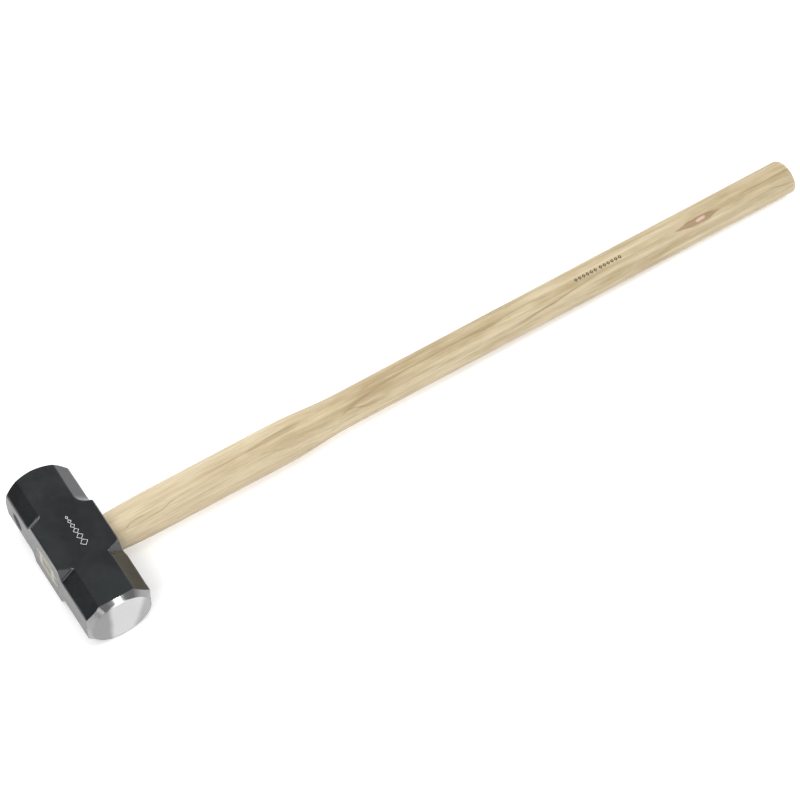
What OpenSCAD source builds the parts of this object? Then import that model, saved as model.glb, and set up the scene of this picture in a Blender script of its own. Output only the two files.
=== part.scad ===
// Sledgehammer lying on one cheek: forged double-faced head, hickory handle,
// one wooden wedge across the eye and two barbed steel wedges driven over it.
// Millimetres. +X runs from the head to the butt, Y along the head, +Z up.
// The origin is on the resting cheek, straight below the middle of the eye.

/* [Head] */
// width and height of the square forging
head_w = 69; // [60:0.5:80]
// length between the two striking faces
head_l = 178; // [150:1:200]
// leg of the corner chamfer at both ends
chamfer = 15.5; // [10:0.5:20]
// half length of the full square block around the eye
cheek_half = 26; // [20:0.5:35]
// slope of the wall where a chamfer runs out, against the chamfer
wall_angle = 64; // [45:1:80]
// hollow radius at the foot of that wall
runout_r = 6; // [2:0.5:10]
// radius of the flat-looking striking face inside the bevel
face_r = 32; // [24:0.5:34]
// axial depth of the bevel for each millimetre of radius
bevel_slope = 1; // [0.5:0.05:1.5]
// radius of the crown of a striking face
crown_r = 560; // [300:10:900]

/* [Eye] */
// eye length at the ground top side
eye_top_w = 47.5; // [44:0.5:52]
// eye length at its waist
eye_waist_w = 38.6; // [34:0.2:42]
// eye length on the handle side
eye_foot_w = 42.4; // [40:0.2:46]
// distance of the waist from the middle of the head, towards the handle
waist_x = 8; // [0:1:20]
// thickness of every oval section divided by its width
oval = 0.75; // [0.65:0.01:0.9]

/* [Handle] */
// length of the whole tool
overall = 911; // [850:1:950]
// greatest width behind the head
belly_w = 46.5; // [42:0.5:50]
// width of the long grip
grip_w = 38.8; // [34:0.2:42]
// width just before the butt is rounded
butt_w = 40.2; // [34:0.2:44]
// where the belly reaches its full width
belly_x0 = 96; // [70:1:140]
// where the belly starts to taper
belly_x1 = 234; // [180:1:300]
// where the taper meets the grip
grip_x = 308; // [280:1:400]
// length of the rounding at the butt
butt_round = 7; // [3:0.5:15]

/* [Wedges] */
// thickness of the wooden wedge at its head
wood_t = 6; // [4:0.5:8]
// thickness of the wooden wedge at its tip
wood_tip = 1.6; // [1:0.1:3]
// depth of the wooden wedge
wood_depth = 46; // [35:1:55]
// thickness of a steel wedge at its head
steel_t = 5; // [3:0.5:7]
// thickness of a steel wedge at its tip
steel_tip = 0.8; // [0.5:0.1:2]
// width of a steel wedge
steel_w = 23; // [18:0.5:28]
// depth of a steel wedge
steel_depth = 30; // [20:1:40]
// height of a barb on a steel wedge
barb = 0.6; // [0.3:0.1:1]
// number of barbs on each side of a steel wedge
barbs = 4; // [2:1:6]
// distance of each steel wedge from the middle of the eye
steel_y = 11.5; // [8:0.5:15]

/* [Hidden] */
$fn = 120;
half = head_w / 2;
end_y = head_l / 2;
top_x = -half;
butt_x = overall - half;
through = 2;
corner_r = norm([half, half - chamfer]) + 2;
bevel_l = (corner_r - face_r) * bevel_slope;
chamfer_face = (head_w - chamfer) / sqrt(2);
fillet_run = runout_r * tan(wall_angle / 2);
corner_depth = chamfer / sqrt(2);
wall_run = corner_depth / tan(wall_angle);
chamfer_start = cheek_half + fillet_run + wall_run;
wall_top = 30;
eye_steps = 9;
ease_steps = 12;

// Smooth step from 0 to 1 with level ends.
function ease(t) = (1 - cos(180 * t)) / 2;

// Values of x in even steps, without the last one.
function steps(x0, x1, n) = [for (i = [0 : n - 1]) x0 + (x1 - x0) * i / n];

// Half width of the hourglass eye.
function eye_r(x) =
    x < waist_x
    ? (eye_waist_w + (eye_top_w - eye_waist_w) * pow((waist_x - x) / (waist_x - top_x), 2)) / 2
    : (eye_waist_w + (eye_foot_w - eye_waist_w) * pow((x - waist_x) / (half - waist_x), 2)) / 2;

// Half width of the handle outside the head.
function shank_r(x) =
    x < belly_x0
    ? (eye_foot_w + (belly_w - eye_foot_w) * sin(90 * (x - half) / (belly_x0 - half))) / 2
    : x < belly_x1
    ? belly_w / 2
    : x < grip_x
    ? (belly_w + (grip_w - belly_w) * ease((x - belly_x1) / (grip_x - belly_x1))) / 2
    : (grip_w + (butt_w - grip_w) * ease((x - grip_x) / (butt_x - butt_round - grip_x))) / 2;

// Butt rounding: how far the outline has come in at a share t of its length.
function butt_in(t) = butt_round * (1 - sqrt(1 - t * t));

eye_xs = concat(
    steps(top_x, waist_x, eye_steps),
    steps(waist_x, half, eye_steps - 3),
    [half]
);
shank_xs = concat(
    [for (i = [1 : ease_steps - 5]) half + (belly_x0 - half) * i / (ease_steps - 4)],
    [belly_x0],
    steps(belly_x1, grip_x, ease_steps),
    steps(grip_x, butt_x - butt_round, 6),
    [butt_x - butt_round]
);
butt_ts = [0.25, 0.45, 0.62, 0.76, 0.87, 0.94];

// A closed oval solid whose half widths follow a list of [half width, x] pairs.
module oval_solid(outline) {
    x0 = outline[0][1];
    x1 = outline[len(outline) - 1][1];
    for (turn = [0 : 90 : 270])
        scale([1, 1, oval])
            rotate([0, 90, 0])
                rotate([0, 0, turn])
                    rotate_extrude(angle = 90)
                        polygon(concat([[0, x0]], outline, [[0, x1]]));
}

// The space inside the eye, from the top side to the handle side.
module eye_solid() {
    oval_solid([for (x = eye_xs) [eye_r(x), x]]);
}

// The eye with its ends carried past both sides of the head.
module eye_cut() {
    oval_solid(concat(
        [[eye_r(top_x), top_x - through]],
        [for (x = eye_xs) [eye_r(x), x]],
        [[eye_r(half), half + through]]
    ));
}

// The whole handle before its tongue is split: tongue, belly, grip and rounded butt.
module handle_blank() {
    oval_solid(concat(
        [for (x = eye_xs) [eye_r(x), x]],
        [for (x = shank_xs) [shank_r(x), x]],
        [for (t = butt_ts) [butt_w / 2 - butt_in(t), butt_x - butt_round * (1 - t)]],
        [[butt_w / 2 - butt_in(0.985), butt_x]]
    ));
}

// One long corner of the head cut away from a chamfer run-out to the end.
module chamfer_cutter() {
    translate([0, 0, chamfer_face])
        rotate([90, 0, 90])
            linear_extrude(height = 4 * chamfer, center = true)
                union() {
                    polygon([
                        [chamfer_start, 0],
                        [end_y + 5, 0],
                        [end_y + 5, wall_top],
                        [chamfer_start - fillet_run - wall_top / tan(wall_angle), wall_top],
                        [
                            chamfer_start - fillet_run - fillet_run * cos(wall_angle),
                            fillet_run * sin(wall_angle)
                        ]
                    ]);
                    translate([chamfer_start, runout_r])
                        circle(r = runout_r);
                }
}

// Envelope of the bevels and crowned striking faces, turned about the head axis.
module striking_envelope() {
    intersection() {
        rotate([90, 0, 0])
            rotate_extrude()
                polygon([
                    [0, -end_y - through * bevel_slope],
                    [face_r - through, -end_y - through * bevel_slope],
                    [corner_r, -end_y + bevel_l],
                    [corner_r, end_y - bevel_l],
                    [face_r - through, end_y + through * bevel_slope],
                    [0, end_y + through * bevel_slope]
                ]);
        crown_ball(1);
        crown_ball(-1);
    }
}

// Sphere whose surface is the crown of the striking face on side s.
module crown_ball(s) {
    translate([0, s * (end_y - crown_r), 0])
        sphere(r = crown_r, $fn = 360);
}

// Tapered slab of the wooden wedge, wider than the eye and carried past the top side.
module wood_slab() {
    rotate([90, 0, 0])
        linear_extrude(height = 2 * eye_top_w, center = true)
            polygon([
                [top_x - through, -wood_t / 2],
                [top_x, -wood_t / 2],
                [top_x + wood_depth, -wood_tip / 2],
                [top_x + wood_depth, wood_tip / 2],
                [top_x, wood_t / 2],
                [top_x - through, wood_t / 2]
            ]);
}

// Half thickness of a steel wedge at a depth below the top side.
function steel_half(d) = (steel_t + (steel_tip - steel_t) * d / steel_depth) / 2;

// One flank of a steel wedge with its barbs, from the head down to the tip.
function flank(s) = [
    for (i = [0 : barbs])
        for (side = [0, 1])
            let (d = 6 + i * (steel_depth - 10) / barbs)
            [top_x + d, s * (steel_half(d) + (side == 0 && i > 0 ? barb : 0))]
];

function reversed(list) = [for (i = [len(list) - 1 : -1 : 0]) list[i]];

// Barbed steel wedge set across the eye at y, carried past the top side by extra.
module steel_solid(y, extra) {
    translate([0, y, 0])
        linear_extrude(height = steel_w, center = true)
            polygon(concat(
                [[top_x - extra, steel_t / 2]],
                flank(1),
                [[top_x + steel_depth, steel_tip / 2]],
                [[top_x + steel_depth, -steel_tip / 2]],
                reversed(flank(-1)),
                [[top_x - extra, -steel_t / 2]]
            ));
}

// Lifts a part from the head's centre line to its place above the rest plane.
module placed() {
    translate([0, 0, half])
        children();
}

// Forged steel head with the hourglass eye.
module head() {
    color([0.11, 0.12, 0.125])
        placed()
            difference() {
                intersection() {
                    cube([head_w, head_l, head_w], center = true);
                    striking_envelope();
                }
                for (turn = [45 : 90 : 315])
                    for (flip = [0, 1])
                        rotate([0, turn, 0])
                            mirror([0, flip, 0])
                                chamfer_cutter();
                eye_cut();
            }
}

// Hickory handle: oval shank and the split tongue inside the eye.
module handle() {
    color([0.83, 0.75, 0.61])
        placed()
            difference() {
                handle_blank();
                wood_slab();
                steel_solid(steel_y, through);
                steel_solid(-steel_y, through);
            }
}

// Wooden wedge filling the kerf from side to side of the eye.
module wooden_wedge() {
    color([0.72, 0.6, 0.42])
        placed()
            difference() {
                intersection() {
                    wood_slab();
                    eye_solid();
                }
                steel_solid(steel_y, through);
                steel_solid(-steel_y, through);
            }
}

// Steel wedge on the far side of the eye.
module steel_wedge_upper() {
    color([0.55, 0.56, 0.57])
        placed()
            steel_solid(steel_y, 0);
}

// Steel wedge on the near side of the eye.
module steel_wedge_lower() {
    color([0.55, 0.56, 0.57])
        placed()
            steel_solid(-steel_y, 0);
}

head();
handle();
wooden_wedge();
steel_wedge_upper();
steel_wedge_lower();
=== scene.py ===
import math

import bpy
from mathutils import Matrix, Vector


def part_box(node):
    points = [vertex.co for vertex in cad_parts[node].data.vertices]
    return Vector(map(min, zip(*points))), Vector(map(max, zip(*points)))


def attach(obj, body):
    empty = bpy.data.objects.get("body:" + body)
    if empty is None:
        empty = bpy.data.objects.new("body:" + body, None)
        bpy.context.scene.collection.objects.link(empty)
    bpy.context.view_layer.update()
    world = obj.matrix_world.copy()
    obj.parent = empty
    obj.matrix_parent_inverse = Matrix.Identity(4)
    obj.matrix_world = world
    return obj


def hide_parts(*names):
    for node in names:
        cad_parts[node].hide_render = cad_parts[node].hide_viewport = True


# Sledgehammer lying on one cheek. Metres, in the part's own frame: +X from head to butt,
# Y along the head, +Z up, origin on the resting cheek below the middle of the eye. The near
# end of the head is at -Y.

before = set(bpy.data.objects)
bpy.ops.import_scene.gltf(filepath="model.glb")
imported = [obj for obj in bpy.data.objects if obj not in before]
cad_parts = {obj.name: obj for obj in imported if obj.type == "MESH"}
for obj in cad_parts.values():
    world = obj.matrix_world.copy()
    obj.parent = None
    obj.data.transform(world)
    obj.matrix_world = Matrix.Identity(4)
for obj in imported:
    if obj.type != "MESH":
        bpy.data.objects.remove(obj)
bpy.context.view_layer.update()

MM = 0.001

# ---------------------------------------------------------------- dimensions

# Head: a square block with chamfered ends. HALF is half its thickness.
HALF = (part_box("head")[1].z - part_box("head")[0].z) / 2
CENTRE_Z = HALF
END_Y = 89.0 * MM
CHAMFER = 15.5 * MM
MIDDLE_CHAMFER = 1.5 * MM
MIDDLE_EDGE_R = 3.5 * MM
NEAR_EDGE_R = 6.0 * MM
FAR_EDGE_R = 7.5 * MM

# Run-out of each chamfer at the block: its start, wall, rounded brow and hollow foot.
CHEEK_HALF = 26.0 * MM
WALL_ANGLE = math.radians(64)
BROW_R = 1.6 * MM
RUNOUT_R = 6.0 * MM
FAR_RIGHT_RUNOUT_R = 15.0 * MM
FAR_LEFT_CHAMFER = 14.2 * MM
FAR_LEFT_CHEEK = 29.8 * MM

# The near half stands out towards the handle, from the block on.
NEAR_SWELL = 2.0 * MM
SWELL_FULL_Y = 40 * MM
SWELL_INNER_X = 12 * MM
NEAR_RIGHT_CHAMFER = CHAMFER + NEAR_SWELL

# Ends: where the paint stops, the rim of the round face and its centre.
NEAR_PAINT_Y = 81.2 * MM
NEAR_RIGHT_PAINT = 1.9 * MM
NEAR_RIM_Y = 88.0 * MM
FACE_R = 33.0 * MM
NEAR_FACE_X = 1.0 * MM
NEAR_FACE_Z = -0.6 * MM
FAR_PAINT_Y = 85.9 * MM
FAR_RIM_Y = 88.6 * MM
FAR_FACE_R = 29.0 * MM
FAR_FACE_X = -1.5 * MM

# Patch of the ground top side that the belt missed.
MISSED_Y = 61.5 * MM
MISSED_Z = -1.5 * MM
MISSED_LEAN = 0.35
MISSED_HALF_Y = 8.5 * MM
MISSED_HALF_Z = 9.5 * MM

# Eye: full widths along Y at the top, at the waist and at the handle side.
EYE_TOP_W = 47.5 * MM
EYE_WAIST_W = 38.6 * MM
EYE_FOOT_W = 42.4 * MM
WAIST_X = 8.0 * MM
EYE_RIM = 0.9 * MM
EYE_STEPS = 28

# Handle: full widths along Y, and its height as a share of its width.
OVAL = 0.75
BUTT_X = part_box("handle")[1].x
BELLY_W = 46.5 * MM
GRIP_W = 38.8 * MM
BUTT_W = 40.2 * MM
BELLY_X0 = 96.0 * MM
BELLY_X1 = 234.0 * MM
GRIP_X = 308.0 * MM
BUTT_ROUND = 7.0 * MM
SHANK_STEPS = 150
BUTT_STEPS = 10
KNOT_X = 757 * MM
KNOT_Y = -5.3 * MM

# How far the floor rises from the head to the butt, which rests on it too.
FLOOR_RISE = 20 * MM


# ------------------------------------------------------------- small helpers

def mix(a, b, t):
    return a + (b - a) * t


def clamp(t):
    return min(1.0, max(0.0, t))


def ease(t):
    return (1 - math.cos(math.pi * t)) / 2


def link_object(name, data):
    obj = bpy.data.objects.new(name, data)
    bpy.context.scene.collection.objects.link(obj)
    return obj


def mesh_object(name, verts, faces, smooth=True):
    mesh = bpy.data.meshes.new(name)
    mesh.from_pydata([tuple(v) for v in verts], [], faces)
    mesh.validate()
    mesh.polygons.foreach_set("use_smooth", [smooth] * len(mesh.polygons))
    return link_object(name, mesh)


def apply_modifiers(obj):
    """Replaces the object's mesh with its evaluated one."""
    depsgraph = bpy.context.evaluated_depsgraph_get()
    depsgraph.update()
    done = bpy.data.meshes.new_from_object(obj.evaluated_get(depsgraph))
    obj.modifiers.clear()
    old = obj.data
    obj.data = done
    bpy.data.meshes.remove(old)


def cut(obj, tool):
    """Boolean difference with its slivers welded, applied at once; the tool is removed."""
    mod = obj.modifiers.new("cut", "BOOLEAN")
    mod.operation = "DIFFERENCE"
    mod.solver = "EXACT"
    mod.object = tool
    weld = obj.modifiers.new("weld", "WELD")
    weld.merge_threshold = 0.005 * MM
    apply_modifiers(obj)
    bpy.data.objects.remove(tool)


# ---------------------------------------------------------------- node graphs

class Graph:
    """A material's node tree with short calls for the nodes used here."""

    def __init__(self, name):
        self.material = bpy.data.materials.new(name)
        self.material.use_nodes = True
        self.tree = self.material.node_tree
        self.tree.nodes.clear()
        self.out = self.tree.nodes.new("ShaderNodeOutputMaterial")
        self.shader = self.tree.nodes.new("ShaderNodeBsdfPrincipled")
        self.tree.links.new(self.shader.outputs[0], self.out.inputs[0])

    def plug(self, socket, value):
        if isinstance(value, bpy.types.NodeSocket):
            self.tree.links.new(value, socket)
        elif isinstance(value, (tuple, list)) and len(value) == 3 and socket.type == "RGBA":
            socket.default_value = (*value, 1.0)
        else:
            socket.default_value = value

    def node(self, kind, inputs=None, **settings):
        n = self.tree.nodes.new(kind)
        for key, value in settings.items():
            setattr(n, key, value)
        for key, value in (inputs or {}).items():
            self.plug(n.inputs[key], value)
        return n

    def position(self):
        return self.node("ShaderNodeTexCoord").outputs["Object"]

    def split(self, vector):
        n = self.node("ShaderNodeSeparateXYZ", {0: vector})
        return n.outputs[0], n.outputs[1], n.outputs[2]

    def join(self, x, y, z):
        return self.node("ShaderNodeCombineXYZ", {0: x, 1: y, 2: z}).outputs[0]

    def math(self, operation, a, b=0.0):
        return self.node("ShaderNodeMath", {0: a, 1: b}, operation=operation).outputs[0]

    def add(self, a, b):
        return self.math("ADD", a, b)

    def sub(self, a, b):
        return self.math("SUBTRACT", a, b)

    def mul(self, a, b):
        return self.math("MULTIPLY", a, b)

    def div(self, a, b):
        return self.math("DIVIDE", a, b)

    def stretch(self, vector, scale, offset=(0.0, 0.0, 0.0)):
        n = self.node("ShaderNodeMapping", {0: vector})
        n.inputs["Scale"].default_value = scale
        n.inputs["Location"].default_value = offset
        return n.outputs[0]

    def noise(self, vector, scale, detail=3.0, rough=0.5, distortion=0.0):
        n = self.node("ShaderNodeTexNoise", {
            "Vector": vector,
            "Scale": scale,
            "Detail": detail,
            "Roughness": rough,
            "Distortion": distortion,
        })
        return n.outputs["Fac"]

    def ramp(self, value, stops):
        """stops are (position, grey or colour) pairs."""
        n = self.node("ShaderNodeValToRGB", {0: value})
        elements = n.color_ramp.elements
        while len(elements) < len(stops):
            elements.new(0.5)
        for element, (position, colour) in zip(elements, stops):
            element.position = position
            if not isinstance(colour, tuple):
                colour = (colour, colour, colour)
            element.color = (*colour, 1.0)
        return n.outputs[0]

    def range(self, value, low, high, to_low=0.0, to_high=1.0):
        n = self.node("ShaderNodeMapRange", {
            "Value": value,
            "From Min": low,
            "From Max": high,
            "To Min": to_low,
            "To Max": to_high,
        })
        n.interpolation_type = "SMOOTHSTEP"
        return n.outputs[0]

    def along(self, x, points, low, high):
        """A smooth curve over x through points given as (mm, value), held at both ends."""
        reach = 0.9
        n = self.node("ShaderNodeFloatCurve", {"Value": self.mul(x, 1 / reach)})
        curve = n.mapping.curves[0]
        places = [(mm * MM / reach, (value - low) / (high - low)) for mm, value in points]
        places = [(0.0, places[0][1])] + places + [(1.0, places[-1][1])]
        while len(curve.points) < len(places):
            curve.points.new(0.5, 0.5)
        for point, place in zip(curve.points, places):
            point.location = place
        n.mapping.update()
        return self.add(self.mul(n.outputs[0], high - low), low)

    def blend(self, factor, a, b, mode="MIX"):
        n = self.node("ShaderNodeMix", data_type="RGBA", blend_type=mode)
        self.plug(n.inputs[0], factor)
        self.plug(n.inputs[6], a)
        self.plug(n.inputs[7], b)
        return n.outputs[2]

    def bump(self, height, strength, distance):
        n = self.node("ShaderNodeBump", {
            "Height": height,
            "Strength": strength,
            "Distance": distance,
        })
        return n.outputs[0]

    def finish(self, **sockets):
        for key, value in sockets.items():
            self.plug(self.shader.inputs[key.replace("_", " ")], value)
        return self.material


# ------------------------------------------------------------------ materials

def make_paint():
    """Satin black enamel over a forging: faint orange peel, broad cloudiness, and sharp edges painted
    lighter as rubbed paint and a painted highlight.
    """
    g = Graph("black_enamel")
    p = g.position()
    broad = g.noise(p, 24.0, 3.0, 0.5)
    colour = g.blend(g.range(broad, 0.36, 0.64), (0.0045, 0.0058, 0.0062), (0.0125, 0.0155, 0.0165))
    # Sharp edges are painted a lighter grey: partly rubbed paint, partly a painted highlight along
    # them.
    pointiness = g.node("ShaderNodeNewGeometry").outputs["Pointiness"]
    ragged = g.noise(p, 420.0, 3.0, 0.65)
    edge = g.range(g.add(pointiness, g.mul(ragged, 0.05)), 0.565, 0.62)
    colour = g.blend(g.mul(edge, 0.55), colour, (0.10, 0.105, 0.105))
    rough = g.range(g.noise(p, 160.0, 4.0, 0.6), 0.3, 0.75, 0.15, 0.23)
    peel = g.noise(p, 650.0, 2.0)
    forged = g.noise(p, 55.0, 3.0)
    height = g.add(g.mul(peel, 0.2), forged)
    return g.finish(
        Base_Color=colour,
        Roughness=rough,
        IOR=1.62,
        Normal=g.bump(height, 0.08, 0.0006),
    )


def make_polished():
    """Turned bevel and ground striking face, with a lighter middle painted as a reflection and painted
    shade to its sides, and small dings.
    """
    g = Graph("polished_steel")
    p = g.position()
    x, y, z = g.split(p)
    zc = g.sub(z, CENTRE_Z)
    radius = g.math("SQRT", g.add(g.mul(x, x), g.mul(zc, zc)))
    on_face = g.range(radius, FACE_R - 0.4 * MM, FACE_R + 0.1 * MM, 1.0, 0.0)
    turning = g.noise(g.join(radius, g.mul(y, 0.05), 0.0), 1700.0, 2.0)
    cloud = g.noise(p, 60.0, 4.0, 0.6)
    fine = g.noise(g.stretch(p, (0.25, 1.0, 1.0)), 1500.0, 3.0, 0.7)

    # The face's lighter middle, a painted reflection with painted shade to either side, starts along a
    # ragged line and fades out along a leaning one.
    ragged = g.add(x, g.mul(g.sub(cloud, 0.5), 5 * MM))
    painted_reflection_start = g.range(ragged, -15 * MM, -8 * MM)
    leaning = g.add(g.add(x, g.mul(zc, -0.263)), g.mul(cloud, 1.5 * MM))
    painted_reflection_fade = g.range(leaning, 18.5 * MM, 27.0 * MM, 1.0, 0.25)
    face = g.blend(g.mul(painted_reflection_start, painted_reflection_fade), (0.265, 0.265, 0.267), (0.55, 0.55, 0.55))

    bevel = g.blend(cloud, (0.235, 0.238, 0.240), (0.30, 0.30, 0.30))
    colour = g.blend(on_face, bevel, face)
    speck = g.range(g.noise(p, 700.0, 2.0), 0.64, 0.72, 1.0, 0.72)
    colour = g.blend(1.0, colour, speck, "MULTIPLY")
    rough = g.add(g.range(fine, 0.3, 0.7, 0.19, 0.27), g.mul(on_face, 0.12))
    height = g.add(g.mul(turning, 0.4), g.mul(fine, on_face))
    return g.finish(
        Base_Color=colour,
        Metallic=1.0,
        Roughness=rough,
        Normal=g.bump(height, 0.09, 0.00012),
    )


def make_ground():
    """Belt-ground top side: scratches along the head and a patch the belt missed."""
    g = Graph("ground_steel")
    p = g.position()
    _, y, z = g.split(p)
    zc = g.sub(z, CENTRE_Z)
    scratch = g.noise(g.stretch(p, (1.0, 0.025, 1.0)), 2600.0, 4.0, 0.7)
    cloud = g.noise(p, 60.0, 4.0, 0.6)
    streak = g.noise(g.stretch(p, (1.0, 0.12, 1.0)), 260.0, 3.0, 0.6)
    colour = g.blend(scratch, (0.101, 0.101, 0.100), (0.187, 0.187, 0.185))
    colour = g.blend(g.range(streak, 0.42, 0.66, 0.0, 0.4), colour, (0.25, 0.25, 0.247))
    from_middle = g.sub(y, MISSED_Y)
    along = g.div(from_middle, MISSED_HALF_Y)
    across = g.div(g.sub(g.sub(zc, MISSED_Z), g.mul(from_middle, MISSED_LEAN)), MISSED_HALF_Z)
    spot = g.add(g.mul(along, along), g.mul(across, across))
    missed = g.range(g.add(spot, g.mul(cloud, 1.5)), 1.3, 2.0, 1.0, 0.0)
    stain = g.blend(g.mul(missed, 0.95), colour, (0.018, 0.018, 0.019))
    return g.finish(
        Base_Color=stain,
        Metallic=g.range(missed, 0.0, 1.0, 1.0, 0.1),
        Roughness=g.add(g.range(scratch, 0.3, 0.7, 0.3, 0.46), g.mul(missed, 0.45)),
        Normal=g.bump(scratch, 0.35, 0.0002),
    )


# Growth lines that show on the upper side of the handle. Each has its course, as (distance
# from the eye, offset to the far side) in mm, its strength along the same distances, and how
# far it fades on its far side and its near side, in mm.
VEINS = [
    dict(
        course=[(48, -11), (54, -9.4), (60, -8.2), (70, -7.7), (84, -8.4)],
        strength=[(47, 0), (52, 0.9), (60, 0.7), (72, 0.5), (86, 0)],
        fade_far=0.9,
        fade_near=0.6,
    ),
    dict(
        course=[(70, -11), (84, -11.5), (92, -11), (99, -9.5), (110, -7.9), (130, -7.2), (150, -7.8)],
        strength=[(69, 0), (78, 0.5), (99, 0.7), (112, 0.6), (130, 0.35), (155, 0)],
        fade_far=0.9,
        fade_near=0.6,
    ),
    dict(
        course=[(46, -11.6), (62, -12.2), (80, -12), (96, -11)],
        strength=[(46, 0), (62, 0.4), (80, 0.35), (98, 0)],
        fade_far=0.9,
        fade_near=0.6,
    ),
    dict(
        course=[(70, 0), (100, 1), (128, 0.5), (152, 1.5), (178, 0.6), (198, 1.2), (220, 3.3),
                (245, 4.7), (290, 7.5)],
        strength=[(65, 0), (90, 0.25), (130, 0.3), (155, 0.5), (178, 0.5), (190, 0.3), (202, 0.8),
                  (248, 0.7), (290, 0)],
        fade_far=0.9,
        fade_near=7.5,
    ),
    dict(
        course=[(205, -9.5), (222, -12), (245, -15.5)],
        strength=[(203, 0), (212, 0.4), (235, 0.4), (250, 0)],
        fade_far=1,
        fade_near=0.7,
    ),
    dict(
        course=[(290, -12), (312, -9), (326, -6), (340, -4.2), (360, -2), (380, -0.9), (420, -0.2),
                (455, 0.2), (484, -1.4), (512, 0.6), (532, 1.6), (550, 0.2), (572, -2.8), (595, -3.6)],
        strength=[(290, 0), (304, 0.3), (313, 1), (345, 0.8), (362, 0.8), (385, 1), (440, 1),
                  (475, 0.95), (530, 0.7), (560, 0.4), (598, 0)],
        fade_far=7,
        fade_near=0.7,
    ),
    dict(
        course=[(308, -9.3), (322, -11), (331, -13.4), (345, -14.1), (380, -15)],
        strength=[(307, 0), (313, 0.9), (330, 0.6), (350, 0.35), (380, 0)],
        fade_far=0.7,
        fade_near=0.9,
    ),
    dict(
        course=[(316, -3), (335, 2.3), (352, 6), (368, 8.6), (395, 9.6), (440, 10)],
        strength=[(316, 0), (335, 0.4), (352, 0.3), (380, 0.5), (396, 0.75), (412, 0.4), (445, 0)],
        fade_far=2,
        fade_near=0.9,
    ),
    dict(
        course=[(480, -14.6), (509, -14), (530, -13), (550, -11.6), (577, -10), (598, -8), (632, -6),
                (680, -4)],
        strength=[(480, 0), (509, 0.3), (538, 0.8), (572, 1), (600, 0.75), (634, 0.4), (680, 0)],
        fade_far=2.6,
        fade_near=0.8,
    ),
    dict(
        course=[(570, 13.5), (600, 12), (640, 11), (690, 9.6), (720, 9)],
        strength=[(565, 0), (600, 0.5), (650, 0.5), (690, 0.6), (725, 0)],
        fade_far=2.2,
        fade_near=1.6,
    ),
    dict(
        course=[(783, -4.2), (800, -3), (817, -1.8), (845, -2.1), (881, -1.5)],
        strength=[(783, 0), (815, 0.35), (842, 0.75), (881, 0.7)],
        fade_far=1,
        fade_near=0.8,
    ),
    dict(
        course=[(835, -10.5), (848, -12.5), (858, -14), (872, -15.6)],
        strength=[(832, 0), (846, 0.6), (866, 0.7), (878, 0.2)],
        fade_far=0.8,
        fade_near=0.8,
    ),
]

# A line that fades over more than this many mm on its far side starts fainter.
WIDE_FADE = 4


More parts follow.
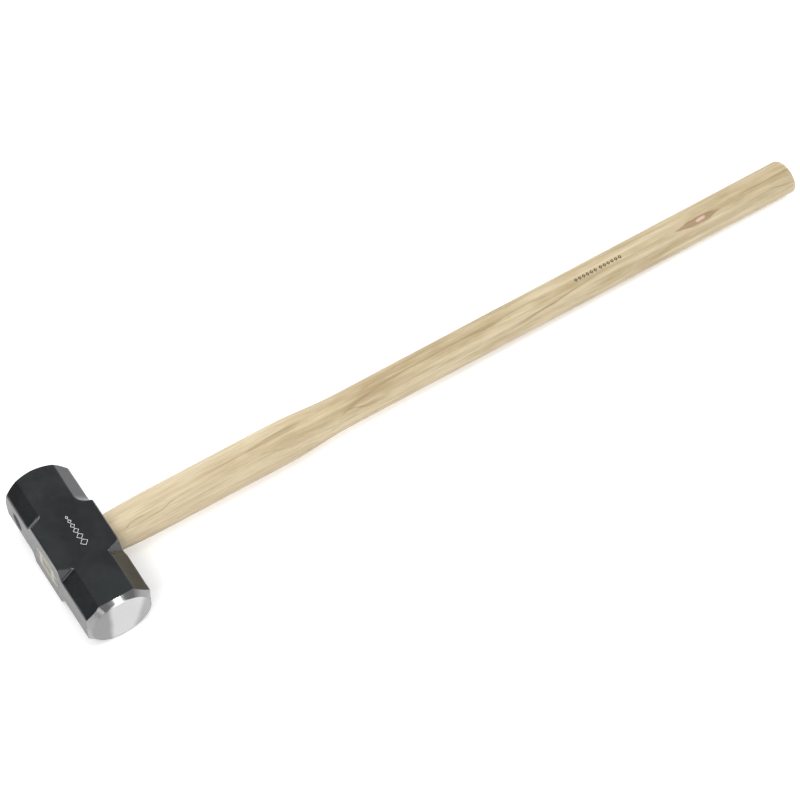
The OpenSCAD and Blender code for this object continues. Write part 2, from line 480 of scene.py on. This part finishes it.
def make_hickory():
    """Pale hickory: long soft bands, growth lines, open pores, a pin knot and end grain."""
    g = Graph("hickory")
    p = g.position()
    x, y, z = g.split(p)
    zc = g.sub(z, CENTRE_Z)
    centred = g.join(x, y, zc)
    upper = g.range(zc, -5 * MM, 3 * MM)

    # Growth layers through the whole handle, about 4 mm apart and leaning across it.
    sway = g.noise(g.stretch(centred, (4.0, 26.0, 26.0)), 1.0, 2.0, 0.5)
    layer = g.add(g.mul(y, 0.8), g.mul(zc, 0.6))
    layer = g.add(layer, g.mul(x, -0.012))
    layer = g.add(layer, g.mul(sway, 26 * MM))
    saw = g.math("FRACT", g.mul(layer, 240.0))
    late = g.ramp(saw, [(0.0, 0.1), (0.5, 0.0), (0.86, 0.7), (0.94, 1.0), (1.0, 0.1)])

    # The lines that show on top, wobbled a little by the fibre.
    wobble = g.noise(g.stretch(centred, (40.0, 160.0, 160.0)), 1.0, 3.0, 0.6)
    side = g.add(y, g.mul(g.sub(wobble, 0.5), 2.6 * MM))
    stain = 0.0
    for vein in VEINS:
        middle = g.along(x, vein["course"], -20, 20)
        off = g.sub(g.mul(side, 1000.0), middle)
        peak = 0.62 if vein["fade_far"] > WIDE_FADE else 0.85
        halo = g.range(off, 0.0, vein["fade_far"], peak, 0.0)
        far = g.math("MAXIMUM", halo, g.range(off, 0.3, 1.5, 1.0, 0.0))
        near = g.range(off, -vein["fade_near"], 0.0)
        line = g.mul(g.mul(far, near), g.along(x, vein["strength"], 0, 1))
        stain = g.math("MAXIMUM", stain, line)
    stain = g.mul(stain, upper)

    # Fibre, streaks, broad bands and pores, all drawn out along the handle.
    fibre = g.noise(g.stretch(centred, (22.0, 1000.0, 1000.0)), 1.0, 4.0, 0.65)
    streak = g.noise(g.stretch(centred, (15.0, 400.0, 400.0), (0.0, 1.7, 0.4)), 1.0, 4.0, 0.6)
    band = g.noise(g.stretch(centred, (2.6, 80.0, 80.0), (0.37, 0.11, 0.0)), 1.0, 3.0, 0.5)
    blotch = g.noise(g.stretch(centred, (16.0, 70.0, 70.0)), 1.0, 4.0, 0.62)
    pores = g.noise(g.stretch(centred, (75.0, 1900.0, 1900.0)), 1.0, 2.0, 0.5)
    pore = g.range(pores, 0.60, 0.74)

    # Colour, from the broad bands down to the fibre, with painted light making it paler towards the
    # head.
    base = g.ramp(g.add(g.mul(band, 0.6), g.mul(blotch, 0.4)), [
        (0.38, (0.400, 0.310, 0.170)),
        (0.48, (0.515, 0.420, 0.258)),
        (0.57, (0.605, 0.510, 0.338)),
    ])
    # Painted light: the wood is paler towards the head, as if lit more brightly there.
    painted_light_to_head = g.range(x, 0.10, 0.34, 1.0, 0.0)
    base = g.blend(g.mul(painted_light_to_head, 0.45), base, (0.64, 0.54, 0.365))
    quiet = g.range(upper, 0.0, 1.0, 0.30, 0.13)
    base = g.blend(g.mul(late, quiet), base, (0.30, 0.21, 0.115))
    streaky = g.mul(stain, g.range(fibre, 0.2, 0.75, 0.62, 1.0))
    base = g.blend(g.mul(streaky, 0.86), base, (0.25, 0.17, 0.078))
    base = g.blend(g.range(streak, 0.46, 0.72, 0.0, 0.5), base, (0.38, 0.285, 0.165))
    base = g.blend(g.range(streak, 0.26, 0.44, 0.4, 0.0), base, (0.72, 0.63, 0.46))
    base = g.blend(g.range(fibre, 0.42, 0.72, 0.0, 0.4), base, (0.34, 0.25, 0.145))
    base = g.blend(g.range(fibre, 0.24, 0.42, 0.22, 0.0), base, (0.74, 0.65, 0.48))
    base = g.blend(g.mul(pore, 0.24), base, (0.24, 0.165, 0.09))
    base = knot_colour(g, x, side, upper, fibre, base)
    base = end_grain_colour(g, centred, base)

    height = g.add(g.mul(fibre, 0.5), g.mul(pore, -0.8))
    return g.finish(
        Base_Color=base,
        Roughness=g.range(fibre, 0.3, 0.7, 0.42, 0.56),
        IOR=1.45,
        Normal=g.bump(height, 0.3, 0.0002),
    )


def knot_colour(g, x, side, upper, fibre, base):
    """Brown lens round a small pale pin knot."""
    along = g.sub(x, KNOT_X)
    across = g.sub(side, KNOT_Y)
    rough_edge = g.noise(g.stretch(g.position(), (90.0, 500.0, 500.0)), 1.0, 3.0, 0.6)
    to_head = g.range(along, -42 * MM, -12 * MM)
    to_butt = g.range(along, 4 * MM, 31 * MM, 1.0, 0.0)
    taper = g.mul(g.mul(to_head, to_butt), 5.0 * MM)
    taper = g.add(taper, g.mul(g.sub(rough_edge, 0.6), 2.4 * MM))
    lens = g.range(g.sub(taper, g.math("ABSOLUTE", across)), 0.0, 1.5 * MM)
    lens = g.mul(lens, g.range(fibre, 0.2, 0.8, 0.55, 0.95))
    base = g.blend(g.mul(lens, upper), base, (0.27, 0.165, 0.088))
    u = g.div(g.add(along, 1.5 * MM), 7.0 * MM)
    v = g.div(g.sub(across, g.mul(along, 0.06)), 2.2 * MM)
    reach = g.add(g.mul(u, u), g.mul(v, v))
    reach = g.add(reach, g.mul(rough_edge, 1.1))
    heart = g.mul(g.range(reach, 0.9, 1.7, 1.0, 0.0), upper)
    return g.blend(g.mul(heart, 0.85), base, (0.64, 0.46, 0.35))


def end_grain_colour(g, centred, base):
    """Pored end grain on the two cut ends, greyer where it was ground off with the head."""
    nx, _, _ = g.split(g.node("ShaderNodeNewGeometry").outputs["True Normal"])
    cut_end = g.range(g.math("ABSOLUTE", nx), 0.75, 0.95)
    dots = g.noise(g.stretch(centred, (8.0, 1000.0, 1000.0)), 1.0, 3.0, 0.7)
    x, y, zc = g.split(centred)
    arc = g.add(g.mul(y, 0.8), g.mul(zc, 0.6))
    arc = g.add(arc, g.mul(g.mul(y, y), 6.0))
    ring = g.math("FRACT", g.mul(arc, 420.0))
    grain = g.ramp(ring, [(0.0, 0.2), (0.5, 0.0), (0.85, 0.7), (0.95, 1.0), (1.0, 0.2)])
    ends = g.blend(g.range(dots, 0.35, 0.7), (0.60, 0.48, 0.32), (0.36, 0.26, 0.155))
    ends = g.blend(g.mul(grain, 0.35), ends, (0.27, 0.18, 0.10))
    base = g.blend(cut_end, base, ends)
    ground_end = g.mul(cut_end, g.range(x, 0.0, 20 * MM, 1.0, 0.0))
    return g.blend(g.mul(ground_end, 0.88), base, (0.29, 0.29, 0.245))


def make_wedge_wood():
    """End grain of the darker hardwood wedge."""
    g = Graph("wedge_end_grain")
    p = g.position()
    fibre = g.noise(g.stretch(p, (60.0, 900.0, 900.0)), 1.0, 3.0, 0.6)
    colour = g.blend(fibre, (0.17, 0.15, 0.125), (0.29, 0.26, 0.22))
    return g.finish(Base_Color=colour, Roughness=0.7, Normal=g.bump(fibre, 0.3, 0.0002))


def make_wedge_steel():
    """Mild steel wedge, ground off with the head."""
    g = Graph("wedge_steel")
    p = g.position()
    scratch = g.noise(g.stretch(p, (1.0, 0.025, 1.0)), 2600.0, 4.0, 0.7)
    colour = g.blend(scratch, (0.30, 0.295, 0.285), (0.52, 0.52, 0.51))
    return g.finish(
        Base_Color=colour,
        Metallic=1.0,
        Roughness=g.range(scratch, 0.3, 0.7, 0.32, 0.5),
        Normal=g.bump(scratch, 0.3, 0.0002),
    )


def make_ink(name, colour, rough):
    """Thin, slightly uneven coat of one colour."""
    g = Graph(name)
    cloud = g.noise(g.position(), 900.0, 3.0, 0.6)
    tone = g.blend(cloud, tuple(c * 0.8 for c in colour), colour)
    return g.finish(Base_Color=tone, Roughness=rough, Normal=g.bump(cloud, 0.1, 0.0001))


PAINT = make_paint()
POLISHED = make_polished()
GROUND = make_ground()
HICKORY = make_hickory()

# Places of the first three in the head's material slots.
PAINTED, BARE, TOP_SIDE = 0, 1, 2


# ----------------------------------------------------------------- head shape

FLAT_POINTS = 17
ARC_POINTS = 5
CHAMFER_POINTS = 9


def section(legs, edge_r):
    """Square with a chamfer of its own leg at each corner (+X+Z, -X+Z, -X-Z, +X-Z) and its
    edges rounded. Returns (x, z) points and what each one lies on."""
    points, kinds = [], []
    # Length that a 45 degree rounding takes off each side of its edge, for a radius of one.
    tangent = math.tan(math.pi / 8)
    radii = [min(edge_r, 1.6 * leg) for leg in legs]
    for side in range(4):
        turn = side * math.pi / 2
        r = radii[side]
        low = legs[side - 1] + radii[side - 1] * tangent - HALF
        high = HALF - legs[side] - r * tangent
        local = []
        for i in range(FLAT_POINTS):
            local.append((HALF, mix(low, high, i / (FLAT_POINTS - 1)), "flat" + str(side)))
        for i in range(1, ARC_POINTS):
            a = (math.pi / 4) * i / (ARC_POINTS - 1)
            local.append((HALF - r + r * math.cos(a), high + r * math.sin(a), "edge"))
        start = Vector(local[-1][:2])
        end = Vector((start.y, start.x))
        for i in range(1, CHAMFER_POINTS):
            q = start.lerp(end, i / (CHAMFER_POINTS - 1))
            local.append((q.x, q.y, "chamfer"))
        for i in range(1, ARC_POINTS - 1):
            a = math.pi / 4 + (math.pi / 4) * i / (ARC_POINTS - 1)
            local.append((high + r * math.cos(a), HALF - r + r * math.sin(a), "edge"))
        cos, sin = math.cos(turn), math.sin(turn)
        for x, z, kind in local:
            points.append((x * cos - z * sin, x * sin + z * cos))
            kinds.append(kind)
    return points, kinds


def swollen(points, y):
    """The points of a near section with their +X side moved out by the swell there."""
    swell = NEAR_SWELL * ease(clamp((y - CHEEK_HALF) / (SWELL_FULL_Y - CHEEK_HALF)))
    return [(x + swell * clamp(x / SWELL_INNER_X), z) for x, z in points]


def chamfer_share(y, foot_r, cheek_half):
    """Share of the full chamfer at a distance from the middle: none on the square block, then
    a rounded brow, a sloping wall and a hollow foot of that radius."""
    depth = CHAMFER / math.sqrt(2)
    run = depth / math.tan(WALL_ANGLE)
    tangent = math.tan(WALL_ANGLE / 2)
    brow_start = cheek_half - BROW_R * tangent
    foot_end = cheek_half + run + foot_r * tangent
    if y <= brow_start:
        return 0.0
    if y >= foot_end:
        return 1.0
    if y <= brow_start + BROW_R * math.sin(WALL_ANGLE):
        t = y - brow_start
        return (BROW_R - math.sqrt(BROW_R ** 2 - t ** 2)) / depth
    if y >= foot_end - foot_r * math.sin(WALL_ANGLE):
        t = foot_end - y
        return 1 - (foot_r - math.sqrt(foot_r ** 2 - t ** 2)) / depth
    return (y - cheek_half) * math.tan(WALL_ANGLE) / depth


# Chamfer leg, radius of the hollow foot and start of the run-out at each corner, in the order
# of section(), for the near half (-1) and the far half (1).
PLAIN = (CHAMFER, RUNOUT_R, CHEEK_HALF)
CORNERS = {
    -1: ((NEAR_RIGHT_CHAMFER, RUNOUT_R, CHEEK_HALF), PLAIN, PLAIN, PLAIN),
    1: (
        (CHAMFER, FAR_RIGHT_RUNOUT_R, CHEEK_HALF),
        (FAR_LEFT_CHAMFER, RUNOUT_R, FAR_LEFT_CHEEK),
        PLAIN,
        PLAIN,
    ),
}


def head_stations():
    """Distances from the middle of the head, close together where the chamfers run out."""
    coarse = [0.0, 9.0, 18.0, 22.0]
    fine = [24.0 + 0.5 * i for i in range(41)]
    outer = [47.0, 52.0, 58.0, 64.0, 70.0, 75.0]
    return [y * MM for y in coarse + fine + outer]


def head_rows():
    """Rows of (points, finish) from the near face to the far face."""
    halves = []
    for sign, end_r in ((-1, NEAR_EDGE_R), (1, FAR_EDGE_R)):
        body = []
        for y in head_stations():
            legs = []
            for full, foot_r, cheek_half in CORNERS[sign]:
                legs.append(mix(MIDDLE_CHAMFER, full, chamfer_share(y, foot_r, cheek_half)))
            points, kinds = section(legs, mix(MIDDLE_EDGE_R, end_r, (y / END_Y) ** 2))
            if sign < 0:
                points = swollen(points, y)
            body.append(([Vector((x, sign * y, z)) for x, z in points], "paint"))
        last = body[-1][0]
        halves.append(body + (near_end(last) if sign < 0 else far_end(last)))
    return halves[0][::-1][:-1] + halves[1], kinds


def face_rows(rim, centre):
    """Rows of a crowned striking face inside its round rim."""
    rows = []
    for share in (0.985, 0.93, 0.8, 0.6, 0.4, 0.2, 0.07):
        row = []
        for p in rim:
            q = centre.lerp(p, share)
            q.y = centre.y + (p.y - centre.y) * share ** 2
            row.append(q)
        rows.append((row, "bare"))
    return rows


def round_rim(points, centre, radius):
    """The outline's points moved out from the centre to a circle in the plane of the centre."""
    rim = []
    for p in points:
        a = math.atan2(p.z - centre.z, p.x - centre.x)
        rim.append(centre + Vector((radius * math.cos(a), 0, radius * math.sin(a))))
    return rim


def near_end(last):
    """Paint up to a straight line, then the bare bevel running in to the round face. The line
    bulges towards the face on the chamfers, and runs nearer to it on the upper right one."""
    points, kinds = section([full for full, _, _ in CORNERS[-1]], 3.0 * MM)
    points = swollen(points, NEAR_PAINT_Y)
    corner = math.hypot(HALF, HALF - CHAMFER)
    boundary = []
    for (x, z), kind in zip(points, kinds):
        bulge = 0.5 if kind == "chamfer" else 0.06
        drop = max(0.0, corner - math.hypot(x, z)) * bulge
        right = clamp((x - HALF + CHAMFER) / CHAMFER) * clamp(z / (HALF - CHAMFER))
        boundary.append(Vector((x, -(NEAR_PAINT_Y + drop + right * NEAR_RIGHT_PAINT), z)))
    rim = round_rim(boundary, Vector((NEAR_FACE_X, -NEAR_RIM_Y, NEAR_FACE_Z)), FACE_R)
    rows = between(last, boundary, (0.5, 0.85, 1.0))
    rows.append((rim, "bare"))
    return rows + face_rows(rim, Vector((NEAR_FACE_X, -END_Y, NEAR_FACE_Z)))


def far_end(last):
    """Paint up to a scalloped line that leans back towards +X, then a bevel to the face."""
    scallop, lean, cheek_drop = 0.70, 0.069, 0.25
    edge = []
    for p in last:
        back = scallop * (math.hypot(p.x, p.z) - HALF)
        back += lean * p.x
        back += cheek_drop * min(HALF - abs(p.z), CHAMFER)
        edge.append(Vector((p.x, FAR_PAINT_Y - back, p.z)))
    rim = round_rim(edge, Vector((FAR_FACE_X, FAR_RIM_Y, 0)), FAR_FACE_R)
    rows = between(last, edge, (0.4, 0.75, 0.95, 1.0))
    rows += between(edge, rim, (0.04, 0.3, 0.6, 0.9, 1.0))
    return rows + face_rows(rim, Vector((FAR_FACE_X, END_Y, 0)))


def between(first, second, shares):
    """Painted rows at those shares of the way from one row to another."""
    return [([a.lerp(b, share) for a, b in zip(first, second)], "paint") for share in shares]


def oval_lathe(name, outline, segments=96):
    """Closed oval solid along X from (x, half width) pairs."""
    verts, faces = [], []
    for x, r in outline:
        for i in range(segments):
            a = 2 * math.pi * i / segments
            verts.append((x, r * math.cos(a), CENTRE_Z + OVAL * r * math.sin(a)))
    rings = len(outline)
    for j in range(rings - 1):
        for i in range(segments):
            k = (i + 1) % segments
            this_ring, next_ring = j * segments, (j + 1) * segments
            faces.append((this_ring + i, this_ring + k, next_ring + k, next_ring + i))
    start, end = len(verts), len(verts) + 1
    verts.append((outline[0][0], 0, CENTRE_Z))
    verts.append((outline[-1][0], 0, CENTRE_Z))
    for i in range(segments):
        k = (i + 1) % segments
        faces.append((start, k, i))
        faces.append((end, (rings - 1) * segments + i, (rings - 1) * segments + k))
    return mesh_object(name, verts, faces)


def eye_r(x):
    """Half width of the eye, waisted near its middle."""
    if x < WAIST_X:
        share = (WAIST_X - x) / (WAIST_X + HALF)
        return mix(EYE_WAIST_W, EYE_TOP_W, share ** 2) / 2
    share = (x - WAIST_X) / (HALF - WAIST_X)
    return mix(EYE_WAIST_W, EYE_FOOT_W, share ** 2) / 2


def shank_r(x):
    """Half width of the handle outside the head: belly, shoulder and grip."""
    if x < BELLY_X0:
        share = math.sin(math.pi / 2 * (x - HALF) / (BELLY_X0 - HALF))
        return mix(EYE_FOOT_W, BELLY_W, share) / 2
    if x < BELLY_X1:
        return BELLY_W / 2
    if x < GRIP_X:
        return mix(BELLY_W, GRIP_W, ease((x - BELLY_X1) / (GRIP_X - BELLY_X1))) / 2
    share = clamp((x - GRIP_X) / (BUTT_X - BUTT_ROUND - GRIP_X))
    return mix(GRIP_W, BUTT_W, ease(share)) / 2


def make_head():
    """Forging lofted through its rows, closed at both faces, with the eye cut through it."""
    rows, kinds = head_rows()
    count = len(kinds)
    verts, faces, slots = [], [], []
    for points, _ in rows:
        verts += [(p.x, p.y, p.z + CENTRE_Z) for p in points]
    for j in range(len(rows) - 1):
        bare = "bare" in (rows[j][1], rows[j + 1][1])
        for i in range(count):
            k = (i + 1) % count
            this_row, next_row = j * count, (j + 1) * count
            faces.append((this_row + i, next_row + i, next_row + k, this_row + k))
            top_side = kinds[i] == "flat2" and kinds[k] == "flat2"
            slots.append(BARE if bare else TOP_SIDE if top_side else PAINTED)
    near_middle, far_middle = len(verts), len(verts) + 1
    verts.append((NEAR_FACE_X, -END_Y, CENTRE_Z + NEAR_FACE_Z))
    verts.append((FAR_FACE_X, END_Y, CENTRE_Z))
    last = (len(rows) - 1) * count
    for i in range(count):
        k = (i + 1) % count
        faces.append((near_middle, i, k))
        faces.append((far_middle, last + k, last + i))
        slots += [BARE, BARE]
    head = mesh_object("forged_head", verts, faces)
    for material in (PAINT, POLISHED, GROUND):
        head.data.materials.append(material)
    head.data.polygons.foreach_set("material_index", slots)
    cut(head, eye_tool())
    shade_head(head)
    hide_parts("head")
    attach(head, "root")


def eye_tool():
    """The eye as a solid, flared at both mouths and longer than the head is thick."""
    past = 3 * MM
    xs = [-HALF + (2 * HALF) * i / EYE_STEPS for i in range(EYE_STEPS + 1)]
    outline = [
        (-HALF - past, eye_r(-HALF) + EYE_RIM + past),
        (-HALF + EYE_RIM, eye_r(-HALF + EYE_RIM)),
    ]
    outline += [(x, eye_r(x)) for x in xs if -HALF + EYE_RIM < x < HALF - EYE_RIM]
    outline += [
        (HALF - EYE_RIM, eye_r(HALF - EYE_RIM)),
        (HALF + past, eye_r(HALF) + EYE_RIM + past),
    ]
    tool = oval_lathe("eye_tool", outline)
    tool.data.materials.append(PAINT)
    return tool


def shade_head(head):
    """Large flats keep their own normals and finishes meet at crisp lines."""
    head.data.set_sharp_from_angle(angle=math.radians(35))
    finishes = {}
    for polygon in head.data.polygons:
        for key in polygon.edge_keys:
            finishes.setdefault(key, set()).add(polygon.material_index)
    for edge in head.data.edges:
        if len(finishes[edge.key]) > 1:
            edge.use_edge_sharp = True
    mod = head.modifiers.new("weighted", "WEIGHTED_NORMAL")
    mod.mode = "FACE_AREA_WITH_ANGLE"
    mod.weight = 60
    mod.keep_sharp = True


def make_handle():
    """One solid through the eye, down the shank and round the butt, kerfed for the wedges."""
    eye_gap = 0.04 * MM
    outline = []
    for i in range(EYE_STEPS + 1):
        x = -HALF + 2 * HALF * i / EYE_STEPS
        outline.append((x, eye_r(x) - eye_gap))
    for i in range(1, SHANK_STEPS + 1):
        x = mix(HALF, BUTT_X - BUTT_ROUND, i / SHANK_STEPS)
        outline.append((x, shank_r(x)))
    for i in range(1, BUTT_STEPS):
        a = math.pi / 2 * i / BUTT_STEPS
        outline.append((
            BUTT_X - BUTT_ROUND * (1 - math.sin(a)),
            BUTT_W / 2 - BUTT_ROUND * (1 - math.cos(a)),
        ))
    flat_r = BUTT_W / 2 - BUTT_ROUND
    outline.append((BUTT_X, flat_r * 0.97))
    outline.append((BUTT_X, flat_r * 0.5))
    handle = oval_lathe("hickory_handle", outline)
    handle.data.materials.append(HICKORY)
    for name in ("wooden_wedge", "steel_wedge_upper", "steel_wedge_lower"):
        cut(handle, link_object("tool_" + name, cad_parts[name].data.copy()))
    handle.data.set_sharp_from_angle(angle=math.radians(40))
    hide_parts("handle")
    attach(handle, "root")


def finish_wedges():
    """The wedges keep their CAD shapes and get their own materials."""
    for name, material in (
        ("wooden_wedge", make_wedge_wood()),
        ("steel_wedge_upper", make_wedge_steel()),
        ("steel_wedge_lower", make_wedge_steel()),
    ):
        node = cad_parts[name]
        node.data.materials.clear()
        node.data.materials.append(material)


def open_lozenges(name, lozenges, surface, stroke, material):
    """Thin raised lozenge outlines that lie on a surface. Each lozenge is its centre (x, y)
    and its half sizes along x and y; surface gives the height there."""
    lift, root = 0.04 * MM, 0.3 * MM
    verts, faces = [], []
    for cx, cy, hx, hy in lozenges:
        inner = 1 - stroke * math.hypot(hx, hy) / (hx * hy)
        start = len(verts)
        for share in (1.0, inner):
            for dx, dy in ((1, 0), (0, 1), (-1, 0), (0, -1)):
                x, y = cx + dx * hx * share, cy + dy * hy * share
                verts.append((x, y, surface(x, y) + lift))
                verts.append((x, y, surface(x, y) - root))
        for i in range(4):
            k = (i + 1) % 4
            outer, outer_next = start + 2 * i, start + 2 * k
            hole, hole_next = outer + 8, outer_next + 8
            faces.append((outer, outer_next, hole_next, hole))
            faces.append((outer + 1, hole + 1, hole_next + 1, outer_next + 1))
            faces.append((outer, outer + 1, outer_next + 1, outer_next))
            faces.append((hole, hole_next, hole_next + 1, hole + 1))
    mark = mesh_object(name, verts, faces, smooth=False)
    mark.data.materials.append(material)
    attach(mark, "root")


def make_cheek_mark():
    """Plain white chain of lozenges that get smaller towards the far end."""
    count, start, gap = 6, -15.5 * MM, 0.3 * MM
    lozenges, y = [], start
    for i in range(count):
        share = i / (count - 1)
        half_x = mix(4.2, 1.5, share) * MM
        half_y = mix(4.0, 2.2, share) * MM
        y += half_y
        lozenges.append((mix(3.6, 2.0, share) * MM, y, half_x, half_y))
        y += half_y + gap
    white = make_ink("white_enamel", (0.78, 0.80, 0.82), 0.35)
    open_lozenges("cheek_mark", lozenges, lambda x, y: 2 * HALF, 0.42 * MM, white)


def make_handle_mark():
    """Two rows of small burnt lozenges with a gap between them."""
    count, pitch, side = 6, 4.9 * MM, -0.5 * MM
    half_x, half_y = 2.2 * MM, 2.3 * MM
    lozenges = []
    for start in (598.5 * MM, 629.8 * MM):
        lozenges += [(start + i * pitch, side, half_x, half_y) for i in range(count)]
    burnt = make_ink("burnt_wood", (0.060, 0.042, 0.030), 0.7)

    def top(x, y):
        return CENTRE_Z + OVAL * math.sqrt(shank_r(x) ** 2 - y ** 2)

    open_lozenges("handle_mark", lozenges, top, 0.95 * MM, burnt)


# ------------------------------------------------------------------ the stage

def make_floor():
    """Pale paper that rises a little to the butt and glows faintly, so shadows stay pale."""
    size = 6.0
    gap = 0.2 * MM
    slope = math.atan2(FLOOR_RISE, BUTT_X - HALF)
    mesh = bpy.data.meshes.new("floor")
    mesh.from_pydata(
        [(-size, -size, 0), (size, -size, 0), (size, size, 0), (-size, size, 0)],
        [],
        [(0, 1, 2, 3)],
    )
    floor = link_object("floor", mesh)
    floor.matrix_world = Matrix.Translation((HALF, 0, -gap)) @ Matrix.Rotation(-slope, 4, "Y")
    g = Graph("floor_paper")
    tone = g.noise(g.position(), 3.0, 2.0)
    floor.data.materials.append(g.finish(
        Base_Color=g.blend(tone, (0.86, 0.86, 0.86), (0.88, 0.88, 0.88)),
        Roughness=0.9,
        Emission_Color=(1.0, 1.0, 1.0),
        Emission_Strength=0.24,
    ))


def make_room():
    """Even light that is brighter at the horizon than overhead, and darker on the -X side."""
    world = bpy.data.worlds.new("studio")
    bpy.context.scene.world = world
    world.use_nodes = True
    tree = world.node_tree
    background = tree.nodes["Background"]
    coords = tree.nodes.new("ShaderNodeTexCoord")
    parts = tree.nodes.new("ShaderNodeSeparateXYZ")
    ramp = tree.nodes.new("ShaderNodeValToRGB")
    tree.links.new(coords.outputs["Generated"], parts.inputs[0])
    tree.links.new(parts.outputs[2], ramp.inputs[0])
    tree.links.new(ramp.outputs[0], background.inputs[0])
    horizon, overhead = (0.0, 0.56), (0.9, 0.40)
    for stop, (position, level) in zip(ramp.color_ramp.elements, (horizon, overhead)):
        stop.position = position
        stop.color = (level, level * 1.005, level * 1.015, 1)
    dark_side = tree.nodes.new("ShaderNodeMapRange")
    dark_side.inputs["From Min"].default_value = -0.95
    dark_side.inputs["From Max"].default_value = -0.35
    dark_side.inputs["To Min"].default_value = 0.30
    dark_side.inputs["To Max"].default_value = 1.0
    tree.links.new(parts.outputs[0], dark_side.inputs["Value"])
    tree.links.new(dark_side.outputs[0], background.inputs[1])


def softbox(name, direction, distance, size, radiance):
    """A rectangular light aimed at the head from that direction, with that brightness."""
    head_centre = Vector((0.0, 0.0, CENTRE_Z))
    data = bpy.data.lights.new(name, "AREA")
    data.shape = "RECTANGLE"
    data.size, data.size_y = size
    data.energy = radiance * math.pi * size[0] * size[1]
    place = head_centre + Vector(direction).normalized() * distance
    lamp = link_object(name, data)
    lamp.location = place
    lamp.rotation_euler = (head_centre - place).to_track_quat("-Z", "Y").to_euler()


def make_lights():
    """One high key light, broad fills round the head and two low ones for its near bevel."""
    softbox("front_high", (0.13, -0.20, 0.97), 2.2, (0.50, 0.50), 11.0)
    softbox("left_front", (-0.48, -0.32, 0.82), 2.3, (1.25, 1.25), 5.6)
    softbox("low_front", (-0.57, -0.80, 0.17), 2.4, (0.50, 0.40), 3.2)
    softbox("low_left", (-0.88, -0.40, 0.22), 2.4, (0.50, 0.50), 3.0)
    softbox("right", (0.85, -0.15, 0.50), 2.9, (1.4, 1.2), 5.0)
    softbox("back", (-0.05, 0.80, 0.60), 2.8, (1.7, 1.0), 7.5)


def make_camera():
    """Long lens from above the near side, turned a little on its axis."""
    target = Vector((0.3674, -0.0204, CENTRE_Z))
    distance = 3.045
    azimuth, elevation, roll = math.radians(-35.5), math.radians(59.4), math.radians(3.5)
    back = Vector((
        math.sin(azimuth) * math.cos(elevation),
        -math.cos(azimuth) * math.cos(elevation),
        math.sin(elevation),
    ))
    data = bpy.data.cameras.new("camera")
    data.lens = 133.3
    data.sensor_width = 36
    camera = link_object("camera", data)
    camera.rotation_mode = "QUATERNION"
    camera.location = target + back * distance
    level = (-back).to_track_quat("-Z", "Y")
    camera.rotation_quaternion = level @ Matrix.Rotation(roll, 3, "Z").to_quaternion()
    bpy.context.scene.camera = camera


make_head()
make_handle()
finish_wedges()
make_cheek_mark()
make_handle_mark()
make_floor()
make_room()
make_lights()
make_camera()
bpy.context.scene.view_settings.view_transform = "Standard"
